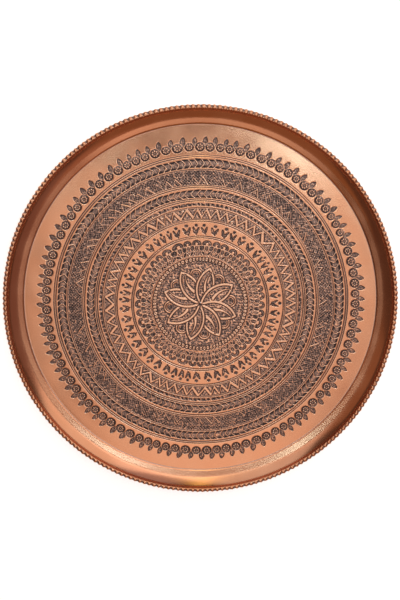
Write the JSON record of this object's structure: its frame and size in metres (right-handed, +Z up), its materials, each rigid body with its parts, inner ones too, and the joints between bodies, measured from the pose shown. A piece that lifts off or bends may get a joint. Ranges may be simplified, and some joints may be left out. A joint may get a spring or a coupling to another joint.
{
  "type": "round serving tray",
  "caption": "Flat round copper serving tray with concentric engraved bands, a low stepped and coved wall and a roped edge rolled over a core wire.",
  "frame": {"origin": "centre of the flat underside", "axes": "+Z up, out of the serving side, along the tray's axis of symmetry; X and Y across the tray, which is round"},
  "size_m": [0.35, 0.35, 0.015],
  "materials": {
    "dish_copper": "polished copper, engraved, with a grey-brown patina left in the cut ground",
    "rope_copper": "rubbed copper, dark in the notches",
    "core_steel": "plain drawn wire"
  },
  "bodies": {
    "root": {"tray_dish": "dish_copper", "rope_edge": "rope_copper", "rim_core_wire": "core_steel"}
  },
  "joints": []
}
